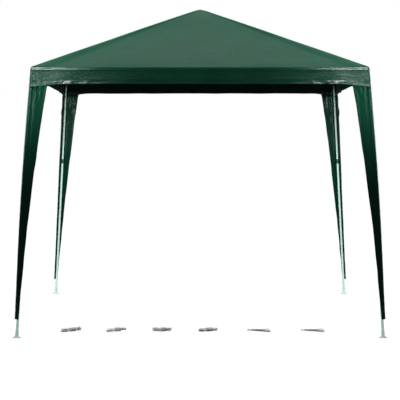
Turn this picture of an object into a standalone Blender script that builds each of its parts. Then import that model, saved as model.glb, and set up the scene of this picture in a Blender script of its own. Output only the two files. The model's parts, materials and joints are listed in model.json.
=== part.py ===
"""A push-together party gazebo: a square steel tube frame on four splayed telescopic legs, a pyramid
canopy with a valance, four tapering leg covers, and the guy ropes and ground pegs that come with it.

The origin is on the ground at the middle of the square, +Z is up and -Y is the front. Everything at a
corner is modelled once, at the rear right corner (+X, +Y), and turned about Z for the other three."""

import math

import bmesh
import bpy
from mathutils import Matrix, Vector

# Driving dimensions, in metres
FOOT_HALF = 1.340  # from the middle to a foot, along X and along Y
EAVE_HALF = 1.250  # to the canopy's outer face at the eave
HEM_HALF = 1.266  # to the canopy's outer face at the valance's hem
APEX_Z = 2.520
EAVE_Z = 1.980
HEM_Z = 1.852
FABRIC = 0.003

# Frame lines: the rails, a rafter and a leg all meet at the frame corner
FRAME_HALF = 1.232
FRAME_Z = 1.969
HUB_Z = 2.488

# Tubes, as outer and inner radii
TUBE_OUTER = 0.0095
TUBE_INNER = 0.0087
SPIGOT_OUTER = 0.0083
SPIGOT_INNER = 0.0075
SPIGOT_LENGTH = 0.060
SWAGE_LENGTH = 0.005
UPPER_LEG_OUTER = 0.0080
UPPER_LEG_INNER = 0.0070
LOWER_LEG_INNER = 0.0085
END_GAP = 0.0003  # between parts that butt together
CUTTER_OVERRUN = 0.010  # how far a bore's cutter runs past the face it opens
TUBE_SEGMENTS = 16
FITTING_SEGMENTS = 12
SHARP_ANGLE = math.radians(35)  # an edge that turns more than this is shaded sharp

# Sleeves of the corner connectors, the crown hub and the feet
SLEEVE_OUTER = 0.0116
SLEEVE_BORE = 0.0100
LEG_SLEEVE_OUTER = 0.0104
LEG_SLEEVE_BORE = 0.0085
RAIL_SLEEVE_LENGTH = 0.056
RAIL_SLEEVE_FLOOR = 0.020
RAFTER_SLEEVE_LENGTH = 0.076
RAFTER_SLEEVE_FLOOR = 0.030
LEG_SLEEVE_LENGTH = 0.060
LEG_SLEEVE_FLOOR = 0.020
CORNER_BALL_RADIUS = 0.0124
CORNER_BALL_RINGS = 8

# Crown
HUB_RADIUS = 0.0155
HUB_TOP_Z = 2.5005
HUB_TURN = math.radians(7)  # keeps the post's edges off the seams between its sleeves
HUB_BOTTOM_Z = 2.456
HUB_SLEEVE_LENGTH = 0.072
HUB_SLEEVE_FLOOR = 0.022
HUB_SLEEVE_START = 0.006  # inside the post, clear of the cap's hole
CAP_RADIUS = 0.020
CAP_RIM = 0.003
CAP_DOME_RADIUS = 0.010
CAP_HEIGHT = 0.0095
CAP_STEM_RADIUS = 0.0045
CAP_STEM_LENGTH = 0.012
CAP_HOLE_RADIUS = 0.0050
CAP_HOLE_DEPTH = 0.015

# Telescopic leg
LOCK_Z = 1.250  # the top of the lower leg tube
LEG_OVERLAP = 0.120
COLLAR_OUTER = 0.0125
COLLAR_LENGTH = 0.042
COLLAR_LIP = 0.003
COLLAR_CHAMFER = 0.0015
BOSS_RADIUS = 0.0066
BOSS_REACH = 0.0160
BUTTON_DROP = 0.020  # from the lower tube's top down to the button
BUTTON_RADIUS = 0.0040
BUTTON_BORE = 0.0044
BUTTON_NOSE = 0.0124
BUTTON_FACE = 0.0188
BUTTON_CHAMFER = 0.0008

# Foot
PLATE_RADIUS = 0.031
PLATE_THICKNESS = 0.0025
PLATE_SEGMENTS = 24
FOOT_SLEEVE_OUTER = 0.0120
FOOT_SLEEVE_LENGTH = 0.052
FOOT_SLEEVE_START = 0.0014
FOOT_SLEEVE_FLOOR = 0.0053
GUSSET_REACH = 0.026
GUSSET_HEIGHT = 0.026
GUSSET_THICKNESS = 0.004
GUSSET_ROOT = 0.004  # where its top starts, out from the foot's middle
GUSSET_TOE = 0.003  # its height at the far end
PEG_HOLE_RADIUS = 0.0035
PEG_HOLE_OFFSET = 0.022

# Leg covers
COVER_STANDOFF = 0.0195  # from the leg's axis to the cover's outer face
COVER_TOP_Z = 1.875
COVER_BOTTOM_Z = 0.135
COVER_STEPS = 9
COVER_WIDTH = 0.0185  # a wing's width if it ran down to the ground
COVER_TAPER = 0.036  # width gained a metre up
COVER_FLARE = 0.0135  # and a square metre up

# Ropes and pegs, lying on the ground inside the front
KIT_Y = -1.04
HANK_XS = (-0.97, -0.63, -0.286, 0.06)
HANK_LENGTH = 0.174
HANK_HEIGHT = 0.036
HANK_TURN = math.radians(28)
HANK_STEPS = 10
HANK_SEGMENTS = 10
HANK_WAIST = 0.017  # half the width where it is wrapped
WIDE_LOOP = (0.041, 0.22, 0.20)  # half width, place along the hank and spread, as shares of its length
SMALL_LOOP = (0.027, 0.82, 0.17)
PEG_FAN_XS = (0.467, 0.873)
PEG_RADIUS = 0.0020
PEG_LENGTH = 0.200
PEG_HOOK = 0.037
PEG_BEND_RADIUS = 0.006
PEG_ANGLE = math.radians(84)  # between the shank and the hook
PEG_STACK = 0.0045  # height gained by each peg that crosses the one below
PEG_SPREAD = math.radians(12)
PEG_SEGMENTS = 10
PEG_BEND_STEPS = 5
PEG_POINT = 0.006  # the chamfer at the tip
PEG_TIP = 0.35  # the tip's radius, as a share of the rod's
PEG_CROSSING = 0.65  # how far along the first peg the others cross it
PEG_CROSSING_STEP = 0.08  # each next peg is crossed this much nearer its head
PEGS_PER_FAN = 4
PEG_FAN_TURN = math.radians(-48)

CORNER = Vector((FRAME_HALF, FRAME_HALF, FRAME_Z))
FOOT = Vector((FOOT_HALF, FOOT_HALF, 0.0))
HUB = Vector((0.0, 0.0, HUB_Z))
LEG_LENGTH = (CORNER - FOOT).length
LEG_UP = (CORNER - FOOT).normalized()
RAFTER_UP = (HUB - CORNER).normalized()
RAFTER_LENGTH = (HUB - CORNER).length
LOCK_DROP = (FRAME_Z - LOCK_Z) / LEG_UP.z  # down the leg, from the frame corner to the lock
INWARD = Vector((-1.0, -1.0, 0.0)).normalized()

# A corner's name, its quarter turns, and the names of its plain and swaged eave rails
CORNERS = (
    ("rear_right", 0, "rear_right", "right_rear"),
    ("rear_left", 1, "left_rear", "rear_left"),
    ("front_left", 2, "front_left", "left_front"),
    ("front_right", 3, "right_front", "front_right"),
)


def clear_scene():
    for obj in list(bpy.data.objects):
        bpy.data.objects.remove(obj, do_unlink=True)


def make_material(name, colour, roughness, metallic=0.0):
    material = bpy.data.materials.new(name)
    material.use_nodes = True
    shader = material.node_tree.nodes["Principled BSDF"]
    shader.inputs["Base Color"].default_value = (*colour, 1.0)
    shader.inputs["Roughness"].default_value = roughness
    shader.inputs["Metallic"].default_value = metallic
    material.diffuse_color = (*colour, 1.0)
    return material


def mesh_from(bm, name):
    """A finished mesh with its faces pointing out, smooth where it is round."""
    bmesh.ops.recalc_face_normals(bm, faces=bm.faces)
    mesh = bpy.data.meshes.new(name)
    bm.to_mesh(mesh)
    bm.free()
    mesh.shade_smooth()
    mesh.set_sharp_from_angle(angle=SHARP_ANGLE)
    return mesh


def bridge_rows(bm, rows, closed):
    """Faces between neighbouring rows of points; a row may be a single point."""
    following = rows[1:] + rows[:1] if closed else rows[1:]
    for row, other in zip(rows, following):
        count = max(len(row), len(other))
        for i in range(count):
            j = (i + 1) % count
            near = (row[i % len(row)], row[j % len(row)])
            far = (other[j % len(other)], other[i % len(other)])
            bm.faces.new(list(dict.fromkeys(near + far)))


def turned_mesh(name, profile, segments=FITTING_SEGMENTS):
    """A profile of (radius, height) turned about Z. It is a solid where it starts and ends on the axis,
    and a ring or a tube where it stays clear of it."""
    bm = bmesh.new()
    rows = []
    for radius, height in profile:
        if radius == 0.0:
            rows.append([bm.verts.new((0.0, 0.0, height))])
            continue
        angles = [2 * math.pi * i / segments for i in range(segments)]
        rows.append([bm.verts.new((radius * math.cos(a), radius * math.sin(a), height)) for a in angles])
    bridge_rows(bm, rows, closed=profile[0][0] > 0.0)
    return mesh_from(bm, name)


def tube_mesh(name, start, end, outer, inner):
    return turned_mesh(name, ((outer, start), (outer, end), (inner, end), (inner, start)), TUBE_SEGMENTS)


def swaged_mesh(name, start, shoulder):
    """A tube whose far end is necked down into a spigot that slips into the next tube."""
    neck = shoulder - SWAGE_LENGTH
    tip = shoulder + SPIGOT_LENGTH
    profile = (
        (TUBE_OUTER, start),
        (TUBE_OUTER, neck),
        (SPIGOT_OUTER, shoulder),
        (SPIGOT_OUTER, tip),
        (SPIGOT_INNER, tip),
        (SPIGOT_INNER, shoulder),
        (TUBE_INNER, neck),
        (TUBE_INNER, start),
    )
    return turned_mesh(name, profile, TUBE_SEGMENTS)


def rod_mesh(name, radius, start, end, segments=FITTING_SEGMENTS):
    return turned_mesh(name, ((0.0, start), (radius, start), (radius, end), (0.0, end)), segments)


def aim(direction, at=(0.0, 0.0, 0.0)):
    """The transform that puts a mesh's +Z along a direction, at a point."""
    turn = Vector((0.0, 0.0, 1.0)).rotation_difference(Vector(direction))
    return Matrix.Translation(Vector(at)) @ turn.to_matrix().to_4x4()


def add_object(name, mesh, material=None, parent=None, local=None):
    obj = bpy.data.objects.new(name, mesh)
    bpy.context.scene.collection.objects.link(obj)
    obj.parent = parent
    obj.matrix_local = local if local is not None else Matrix.Identity(4)
    if material is not None:
        obj.data.materials.clear()
        obj.data.materials.append(material)
    return obj


def add_empty(name, parent=None, local=None):
    empty = bpy.data.objects.new(name, None)
    bpy.context.scene.collection.objects.link(empty)
    empty.empty_display_size = 0.05
    empty.parent = parent
    empty.matrix_local = local if local is not None else Matrix.Identity(4)
    return empty


def carved_mesh(name, solids, cutters):
    """The union of the solids less the cutters. Each is a mesh and its transform."""
    base = add_object(name, solids[0][0], local=solids[0][1])
    operands = []
    for operation, pieces in (("UNION", solids[1:]), ("DIFFERENCE", cutters)):
        for mesh, local in pieces:
            operand = add_object(f"{name}_{operation.lower()}", mesh, local=local)
            operand.hide_render = True
            operand.display_type = "WIRE"
            modifier = base.modifiers.new(operand.name, "BOOLEAN")
            modifier.operation = operation
            modifier.solver = "EXACT"
            modifier.object = operand
            operands.append(operand)
    bpy.context.view_layer.update()
    evaluated = base.evaluated_get(bpy.context.evaluated_depsgraph_get())
    mesh = bpy.data.meshes.new_from_object(evaluated)
    mesh.transform(base.matrix_world)
    for obj in (base, *operands):
        bpy.data.objects.remove(obj, do_unlink=True)
    mesh.name = name
    mesh.shade_smooth()
    mesh.set_sharp_from_angle(angle=SHARP_ANGLE)
    return mesh


def corner_connector_mesh():
    """A ball with sleeves for two rails, a rafter and a leg, about the frame corner at the origin."""
    rails = (Vector((-1.0, 0.0, 0.0)), Vector((0.0, -1.0, 0.0)))
    sleeves = [(rail, SLEEVE_OUTER, SLEEVE_BORE, RAIL_SLEEVE_FLOOR, RAIL_SLEEVE_LENGTH) for rail in rails]
    sleeves.append((RAFTER_UP, SLEEVE_OUTER, SLEEVE_BORE, RAFTER_SLEEVE_FLOOR, RAFTER_SLEEVE_LENGTH))
    sleeves.append((-LEG_UP, LEG_SLEEVE_OUTER, LEG_SLEEVE_BORE, LEG_SLEEVE_FLOOR, LEG_SLEEVE_LENGTH))
    ball = bmesh.new()
    bmesh.ops.create_uvsphere(
        ball,
        u_segments=FITTING_SEGMENTS,
        v_segments=CORNER_BALL_RINGS,
        radius=CORNER_BALL_RADIUS,
    )
    solids = [(mesh_from(ball, "corner_ball"), Matrix.Identity(4))]
    cutters = []
    for direction, outer, bore, floor, length in sleeves:
        solids.append((rod_mesh("sleeve", outer, 0.0, length), aim(direction)))
        cutters.append((rod_mesh("bore", bore, floor, length + CUTTER_OVERRUN), aim(direction)))
    return carved_mesh("corner_connector", solids, cutters)


def crown_hub_mesh():
    """A short post with four sleeves that slope down to the corners, and a blind hole for its cap."""
    top = HUB_TOP_Z - HUB_Z
    hub = rod_mesh("hub", HUB_RADIUS, HUB_BOTTOM_Z - HUB_Z, top)
    hole = rod_mesh("cap_hole", CAP_HOLE_RADIUS, top - CAP_HOLE_DEPTH, top + CUTTER_OVERRUN)
    bore = rod_mesh("bore", SLEEVE_BORE, HUB_SLEEVE_FLOOR, HUB_SLEEVE_LENGTH + CUTTER_OVERRUN)
    turned = Matrix.Rotation(HUB_TURN, 4, "Z")
    solids = [(hub, turned)]
    cutters = [(hole, turned)]
    for quarter in range(4):
        down = Matrix.Rotation(quarter * math.pi / 2, 4, "Z") @ aim(-RAFTER_UP)
        solids.append((rod_mesh("sleeve", SLEEVE_OUTER, HUB_SLEEVE_START, HUB_SLEEVE_LENGTH), down))
        cutters.append((bore, down))
    return carved_mesh("crown_hub", solids, cutters)


def crown_cap_mesh():
    """A low plastic mushroom that keeps the hub off the fabric, with a stem down into the hub."""
    profile = (
        (0.0, -CAP_STEM_LENGTH),
        (CAP_STEM_RADIUS, -CAP_STEM_LENGTH),
        (CAP_STEM_RADIUS, 0.0),
        (CAP_RADIUS, 0.0),
        (CAP_RADIUS, CAP_RIM),
        (CAP_DOME_RADIUS, CAP_HEIGHT),
        (0.0, CAP_HEIGHT),
    )
    return turned_mesh("crown_cap", profile)


def lock_collar_mesh():
    """A plastic collar over the lower tube's top, with a lip over its end and a boss for the button.
    Heights are measured from the tube's end, along the leg."""
    top = COLLAR_LIP
    bottom = COLLAR_LIP - COLLAR_LENGTH
    edge = COLLAR_OUTER - COLLAR_CHAMFER
    outside = (
        (0.0, bottom),
        (edge, bottom),
        (COLLAR_OUTER, bottom + COLLAR_CHAMFER),
        (COLLAR_OUTER, top - COLLAR_CHAMFER),
        (edge, top),
        (0.0, top),
    )
    inside = (
        (0.0, bottom - CUTTER_OVERRUN),
        (SLEEVE_BORE, bottom - CUTTER_OVERRUN),
        (SLEEVE_BORE, END_GAP),
        (LEG_SLEEVE_BORE, END_GAP),
        (LEG_SLEEVE_BORE, top + CUTTER_OVERRUN),
        (0.0, top + CUTTER_OVERRUN),
    )
    across = aim(INWARD, (0.0, 0.0, -BUTTON_DROP))
    solids = [(turned_mesh("collar_body", outside), Matrix.Identity(4))]
    solids.append((rod_mesh("boss", BOSS_RADIUS, 0.0, BOSS_REACH), across))
    cutters = [(turned_mesh("collar_bore", inside), Matrix.Identity(4))]
    cutters.append((rod_mesh("button_bore", BUTTON_BORE, 0.0, BOSS_REACH + CUTTER_OVERRUN), across))
    return carved_mesh("lock_collar", solids, cutters)


def lock_button_mesh():
    """The release button. Its +Z is the way out of its boss, and its origin is on the leg's axis."""
    profile = (
        (0.0, BUTTON_NOSE),
        (BUTTON_RADIUS - BUTTON_CHAMFER, BUTTON_NOSE),
        (BUTTON_RADIUS, BUTTON_NOSE + BUTTON_CHAMFER),
        (BUTTON_RADIUS, BUTTON_FACE - BUTTON_CHAMFER),
        (BUTTON_RADIUS - BUTTON_CHAMFER, BUTTON_FACE),
        (0.0, BUTTON_FACE),
    )
    return turned_mesh("lock_button", profile)


def gusset_mesh():
    """A web from the foot's sleeve down to its plate, on the outer side."""
    bm = bmesh.new()
    outward = -INWARD
    side = Vector((-outward.y, outward.x, 0.0)) * GUSSET_THICKNESS / 2
    floor = PLATE_THICKNESS / 2
    corners = (
        (GUSSET_ROOT, floor),
        (GUSSET_REACH, floor),
        (GUSSET_REACH, floor + GUSSET_TOE),
        (GUSSET_ROOT, GUSSET_HEIGHT),
    )
    rows = []
    for offset in (-side, side):
        points = [outward * reach + Vector((0.0, 0.0, height)) + offset for reach, height in corners]
        rows.append([bm.verts.new(point) for point in points])
        bm.faces.new(rows[-1])
    bridge_rows(bm, rows, closed=False)
    return mesh_from(bm, "gusset")


def foot_mesh():
    """A round plate with two peg holes, and a tilted sleeve that takes the leg."""
    plate = rod_mesh("plate", PLATE_RADIUS, 0.0, PLATE_THICKNESS, PLATE_SEGMENTS)
    sleeve = rod_mesh("sleeve", FOOT_SLEEVE_OUTER, FOOT_SLEEVE_START, FOOT_SLEEVE_LENGTH)
    bore = rod_mesh("bore", SLEEVE_BORE, FOOT_SLEEVE_FLOOR, FOOT_SLEEVE_LENGTH + CUTTER_OVERRUN)
    along = aim(LEG_UP)
    solids = [(plate, Matrix.Identity(4)), (sleeve, along), (gusset_mesh(), Matrix.Identity(4))]
    cutters = [(bore, along)]
    for side in (-1, 1):
        place = Vector((-INWARD.y, INWARD.x, 0.0)) * side * PEG_HOLE_OFFSET
        hole = rod_mesh("peg_hole", PEG_HOLE_RADIUS, -CUTTER_OVERRUN, CUTTER_OVERRUN)
        cutters.append((hole, Matrix.Translation(place)))
    return carved_mesh("foot", solids, cutters)


def leg_axis_at(height):
    """How far the leg's axis is from the middle, along X and along Y, at a height."""
    return FOOT_HALF + (FRAME_HALF - FOOT_HALF) * height / FRAME_Z


def cover_width(height):
    """A cover's wing narrows from the hem down to the foot in a gentle curve."""
    return COVER_WIDTH + COVER_TAPER * height + COVER_FLARE * height**2


def leg_cover_mesh():
    """An L of fabric round the outside of a leg."""
    bm = bmesh.new()
    rows = []
    for step in range(COVER_STEPS + 1):
        height = COVER_BOTTOM_Z + (COVER_TOP_Z - COVER_BOTTOM_Z) * step / COVER_STEPS
        outer = leg_axis_at(height) + COVER_STANDOFF
        inner = outer - FABRIC
        edge = outer - cover_width(height)
        corners = (
            (outer, outer),
            (edge, outer),
            (edge, inner),
            (inner, inner),
            (inner, edge),
            (outer, edge),
        )
        rows.append([bm.verts.new((x, y, height)) for x, y in corners])
    bridge_rows(bm, rows, closed=False)
    bm.faces.new(rows[0])
    bm.faces.new(rows[-1])
    return mesh_from(bm, "leg_cover")


def square_row(bm, half, height):
    return [bm.verts.new((x * half, y * half, height)) for x, y in ((1, 1), (-1, 1), (-1, -1), (1, -1))]


def canopy_mesh():
    """A pyramid with a valance: one skin of fabric, open below."""
    slope = (APEX_Z - EAVE_Z) / EAVE_HALF
    drop = FABRIC * math.hypot(1.0, slope)  # the skin's thickness, measured upright
    inner_half = EAVE_HALF - FABRIC
    bm = bmesh.new()
    rows = [
        [bm.verts.new((0.0, 0.0, APEX_Z))],
        square_row(bm, EAVE_HALF, EAVE_Z),
        square_row(bm, HEM_HALF, HEM_Z),
        square_row(bm, HEM_HALF - FABRIC, HEM_Z),
        square_row(bm, inner_half, APEX_Z - drop - slope * inner_half),
        [bm.verts.new((0.0, 0.0, APEX_Z - drop))],
    ]
    bridge_rows(bm, rows, closed=False)
    return mesh_from(bm, "canopy")


def hank_width(part):
    """Half the width of a coiled rope: a wide loop, a wrapped waist and a smaller loop."""
    width = HANK_WAIST
    for widest, place, spread in (WIDE_LOOP, SMALL_LOOP):
        width = max(width, widest * math.exp(-(((part - place) / spread) ** 2)))
    return width


def hank_mesh():
    """A coil of rope lying on the ground, lofted through ovals along X."""
    bm = bmesh.new()
    rows = [[bm.verts.new((-HANK_LENGTH / 2, 0.0, HANK_HEIGHT / 2))]]
    for step in range(1, HANK_STEPS):
        part = step / HANK_STEPS
        rounding = math.sqrt(1.0 - (2 * part - 1) ** 4)
        wide, high = hank_width(part) * rounding, HANK_HEIGHT / 2 * rounding
        angles = [2 * math.pi * i / HANK_SEGMENTS for i in range(HANK_SEGMENTS)]
        x = HANK_LENGTH * (part - 0.5)
        row = [bm.verts.new((x, wide * math.cos(a), HANK_HEIGHT / 2 + high * math.sin(a))) for a in angles]
        rows.append(row)
    rows.append([bm.verts.new((HANK_LENGTH / 2, 0.0, HANK_HEIGHT / 2))])
    bridge_rows(bm, rows, closed=False)
    return mesh_from(bm, "rope_hank")


def peg_mesh():
    """A bent steel rod: the shank runs along +X from the bend at the origin, and the hook to its left."""
    bend = math.pi - PEG_ANGLE  # how far the rod turns
    tangent = PEG_BEND_RADIUS * math.tan(bend / 2)
    back = Vector((-1.0, 0.0, 0.0))
    path = [(Vector((PEG_LENGTH, 0.0, 0.0)), 0.0, PEG_TIP)]
    path.append((Vector((PEG_LENGTH - PEG_POINT, 0.0, 0.0)), 0.0, 1.0))
    centre = Vector((tangent, PEG_BEND_RADIUS, 0.0))
    for step in range(PEG_BEND_STEPS + 1):
        turned = bend * step / PEG_BEND_STEPS
        point = centre + Vector((-math.sin(turned), -math.cos(turned), 0.0)) * PEG_BEND_RADIUS
        path.append((point, turned, 1.0))
    hook = Matrix.Rotation(-bend, 4, "Z") @ back
    path.append((hook * PEG_HOOK, bend, 1.0))
    bm = bmesh.new()
    rows = []
    for point, turned, thickness in path:
        across = Matrix.Rotation(-turned, 4, "Z") @ Vector((0.0, 1.0, 0.0))
        row = []
        for i in range(PEG_SEGMENTS):
            angle = 2 * math.pi * (i + 0.5) / PEG_SEGMENTS
            offset = across * math.cos(angle) + Vector((0.0, 0.0, math.sin(angle)))
            row.append(bm.verts.new(point + offset * PEG_RADIUS * thickness))
        rows.append(row)
    bridge_rows(bm, rows, closed=False)
    bm.faces.new(rows[0])
    bm.faces.new(rows[-1])
    return mesh_from(bm, "ground_peg")


def peg_place(index):
    """Where a peg lies in its fan: all of them cross over one point, each on top of the last, with
    their bends on the ground."""
    turn = ((PEGS_PER_FAN - 1) / 2 - index) * PEG_SPREAD
    head_distance = (PEG_CROSSING - PEG_CROSSING_STEP * index) * PEG_LENGTH
    rise = math.asin(index * PEG_STACK / head_distance)
    lay = Matrix.Rotation(turn, 4, "Z") @ Matrix.Translation((-head_distance, 0.0, PEG_RADIUS))
    return lay @ Matrix.Rotation(-rise, 4, "Y")


def build_frame(corner, materials, meshes):
    """The fixed tubes of one corner."""
    name, empty, plain_rail, swaged_rail = corner
    steel = materials["powder_coat"]
    at_corner = Matrix.Translation(CORNER)
    add_object(f"corner_connector_{name}", meshes["connector"], steel, empty, at_corner)
    add_object(f"eave_rail_{plain_rail}", meshes["plain_rail"], steel, empty, aim((-1, 0, 0), CORNER))
    add_object(f"eave_rail_{swaged_rail}", meshes["swaged_rail"], steel, empty, aim((0, -1, 0), CORNER))
    add_object(f"lower_rafter_{name}", meshes["lower_rafter"], steel, empty, aim(RAFTER_UP, CORNER))
    add_object(f"upper_rafter_{name}", meshes["upper_rafter"], steel, empty, aim(RAFTER_UP, CORNER))
    add_object(f"upper_leg_{name}", meshes["upper_leg"], steel, empty, aim(LEG_UP, CORNER))


def build_lower_leg(corner, materials, meshes):
    """The telescopic half of one leg, parented to an empty on its slide's axis."""
    name, empty = corner[:2]
    slide = add_empty(f"leg_slide_{name}", empty, aim(LEG_UP, CORNER))
    add_object(f"lower_leg_{name}", meshes["lower_leg"], materials["powder_coat"], slide)
    collar_place = Matrix.Translation((0.0, 0.0, -LOCK_DROP))
    add_object(f"leg_lock_{name}", meshes["collar"], materials["plastic"], slide, collar_place)
    button_place = aim(INWARD, (0.0, 0.0, -LOCK_DROP - BUTTON_DROP))
    add_object(f"lock_button_{name}", meshes["button"], materials["button"], slide, button_place)
    upright = aim(LEG_UP, CORNER).inverted() @ Matrix.Translation(FOOT)
    add_object(f"foot_{name}", meshes["foot"], materials["powder_coat"], slide, upright)


def build_kit(materials):
    """The coiled guy ropes and the two fans of ground pegs."""
    hank = hank_mesh()
    for index, x in enumerate(HANK_XS, 1):
        place = Matrix.Translation((x, KIT_Y, 0.0)) @ Matrix.Rotation(HANK_TURN, 4, "Z")
        add_object(f"rope_hank_{index}", hank, materials["rope"], local=place)
    peg = peg_mesh()
    for fan, x in enumerate(PEG_FAN_XS):
        fan_place = Matrix.Translation((x, KIT_Y, 0.0)) @ Matrix.Rotation(PEG_FAN_TURN, 4, "Z")
        for index in range(PEGS_PER_FAN):
            number = fan * PEGS_PER_FAN + index + 1
            place = fan_place @ peg_place(index)
            add_object(f"ground_peg_{number}", peg, materials["galvanised"], local=place)


def main():
    clear_scene()
    materials = {
        "fabric": make_material("green_fabric", (0.03, 0.10, 0.07), 0.55),
        "powder_coat": make_material("pale_green_powder_coat", (0.55, 0.68, 0.63), 0.4),
        "plastic": make_material("dark_green_plastic", (0.02, 0.06, 0.045), 0.5),
        "button": make_material("black_plastic", (0.02, 0.02, 0.02), 0.45),
        "rope": make_material("white_rope", (0.85, 0.85, 0.84), 0.8),
        "galvanised": make_material("galvanised_steel", (0.5, 0.52, 0.52), 0.4, 1.0),
    }
    rail_start = RAIL_SLEEVE_FLOOR + END_GAP
    rail_end = FRAME_HALF - END_GAP
    rafter_middle = RAFTER_LENGTH / 2
    rafter_top = RAFTER_LENGTH - HUB_SLEEVE_FLOOR - END_GAP
    leg_bottom = LEG_LENGTH - FOOT_SLEEVE_FLOOR - END_GAP
    meshes = {
        "connector": corner_connector_mesh(),
        "plain_rail": tube_mesh("plain_rail", rail_start, rail_end, TUBE_OUTER, TUBE_INNER),
        "swaged_rail": swaged_mesh("swaged_rail", rail_start, rail_end),
        "lower_rafter": swaged_mesh("lower_rafter", RAFTER_SLEEVE_FLOOR + END_GAP, rafter_middle - END_GAP),
        "upper_rafter": tube_mesh("upper_rafter", rafter_middle, rafter_top, TUBE_OUTER, TUBE_INNER),
        "upper_leg": tube_mesh(
            "upper_leg",
            -LOCK_DROP - LEG_OVERLAP,
            -LEG_SLEEVE_FLOOR - END_GAP,
            UPPER_LEG_OUTER,
            UPPER_LEG_INNER,
        ),
        "lower_leg": tube_mesh("lower_leg", -leg_bottom, -LOCK_DROP, TUBE_OUTER, LOWER_LEG_INNER),
        "collar": lock_collar_mesh(),
        "button": lock_button_mesh(),
        "foot": foot_mesh(),
    }
    cover = leg_cover_mesh()
    add_object("crown_hub", crown_hub_mesh(), materials["powder_coat"], local=Matrix.Translation(HUB))
    cap_place = Matrix.Translation((0.0, 0.0, HUB_TOP_Z + END_GAP))
    add_object("crown_cap", crown_cap_mesh(), materials["plastic"], local=cap_place)
    add_object("canopy", canopy_mesh(), materials["fabric"])
    for name, quarter, plain_rail, swaged_rail in CORNERS:
        empty = add_empty(f"corner_{name}", local=Matrix.Rotation(quarter * math.pi / 2, 4, "Z"))
        corner = (name, empty, plain_rail, swaged_rail)
        build_frame(corner, materials, meshes)
        build_lower_leg(corner, materials, meshes)
        add_object(f"leg_cover_{name}", cover, materials["fabric"], empty)
    build_kit(materials)
    bpy.context.view_layer.update()


main()
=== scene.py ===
"""The looks of a party gazebo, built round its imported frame: the sewn canopy, the leg covers with their
ties, the coiled ropes, and the materials of the tubes, fittings and pegs.
Metres, +Z up, -Y is the front."""

import json
import math

import bmesh
import bpy
import numpy as np
from mathutils import Matrix, Vector

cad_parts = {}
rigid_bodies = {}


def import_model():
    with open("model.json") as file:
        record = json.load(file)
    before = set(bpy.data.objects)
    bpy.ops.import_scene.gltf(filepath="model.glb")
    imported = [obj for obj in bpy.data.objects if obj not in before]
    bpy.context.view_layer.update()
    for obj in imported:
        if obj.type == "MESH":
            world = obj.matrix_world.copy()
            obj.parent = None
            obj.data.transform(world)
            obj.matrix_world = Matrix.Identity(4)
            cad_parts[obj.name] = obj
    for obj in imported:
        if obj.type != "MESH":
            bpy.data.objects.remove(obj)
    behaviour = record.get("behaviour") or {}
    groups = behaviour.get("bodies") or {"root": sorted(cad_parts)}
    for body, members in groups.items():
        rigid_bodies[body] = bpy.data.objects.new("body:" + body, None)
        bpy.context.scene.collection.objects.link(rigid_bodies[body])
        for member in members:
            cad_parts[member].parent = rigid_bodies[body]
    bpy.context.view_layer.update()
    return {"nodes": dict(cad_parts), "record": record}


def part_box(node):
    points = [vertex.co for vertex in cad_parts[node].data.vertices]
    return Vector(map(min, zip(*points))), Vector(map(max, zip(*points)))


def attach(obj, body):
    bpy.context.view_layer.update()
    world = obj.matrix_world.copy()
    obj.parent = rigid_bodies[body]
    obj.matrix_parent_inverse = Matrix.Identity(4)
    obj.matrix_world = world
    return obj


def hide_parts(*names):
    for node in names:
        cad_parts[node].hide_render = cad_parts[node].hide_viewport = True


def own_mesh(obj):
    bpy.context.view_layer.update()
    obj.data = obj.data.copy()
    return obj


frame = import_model()

# The frame's own measures
RAIL_LOW, RAIL_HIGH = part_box("eave_rail_front_left")
CANOPY_LOW, CANOPY_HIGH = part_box("canopy")
COVER_LOW, COVER_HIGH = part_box("leg_cover_rear_right")
FOOT_LOW, FOOT_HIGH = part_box("foot_rear_right")
FRAME_HALF = -(RAIL_LOW.y + RAIL_HIGH.y) / 2  # from the middle to an eave rail's axis
FRAME_Z = (RAIL_LOW.z + RAIL_HIGH.z) / 2
FOOT_HALF = (FOOT_LOW.x + FOOT_HIGH.x) / 2  # from the middle to a foot's axis, along X and along Y
HEM_HALF = CANOPY_HIGH.x
HEM_Z = CANOPY_LOW.z
VALANCE_DEPTH = FRAME_Z - HEM_Z
APEX_Z = CANOPY_HIGH.z - 0.002
COVER_TOP_Z = COVER_HIGH.z
COVER_BOTTOM_Z = COVER_LOW.z

CORNERS = (("rear_right", 0), ("rear_left", 1), ("front_left", 2), ("front_right", 3))
SHEET = 0.0006  # the woven sheet's thickness


# ---------------------------------------------------------------- small tools


def noise_1d(x, seed):
    """Smooth noise between -1 and 1, one bump a unit."""
    return noise_2d(x, np.zeros_like(x), seed)


def noise_2d(x, y, seed):
    """Smooth noise between -1 and 1 on a lattice of unit cells."""
    cells = 256
    values = np.random.default_rng(seed).uniform(-1.0, 1.0, (cells, cells))
    x, y = np.broadcast_arrays(np.asarray(x, float), np.asarray(y, float))
    cell_x, cell_y = np.floor(x).astype(int), np.floor(y).astype(int)
    part_x, part_y = x - cell_x, y - cell_y
    part_x = part_x * part_x * (3 - 2 * part_x)
    part_y = part_y * part_y * (3 - 2 * part_y)
    near_x, near_y = cell_x % cells, cell_y % cells
    far_x, far_y = (cell_x + 1) % cells, (cell_y + 1) % cells
    low = values[near_x, near_y] * (1 - part_x) + values[far_x, near_y] * part_x
    high = values[near_x, far_y] * (1 - part_x) + values[far_x, far_y] * part_x
    return low * (1 - part_y) + high * part_y


def bump(x, middle, width):
    """A bell curve of height 1."""
    return np.exp(-(((x - middle) / width) ** 2))


def smooth_step(x, low, high):
    """0 up to low, 1 from high, and a soft slope between them."""
    part = np.clip((x - low) / (high - low), 0.0, 1.0)
    return part * part * (3 - 2 * part)


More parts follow.
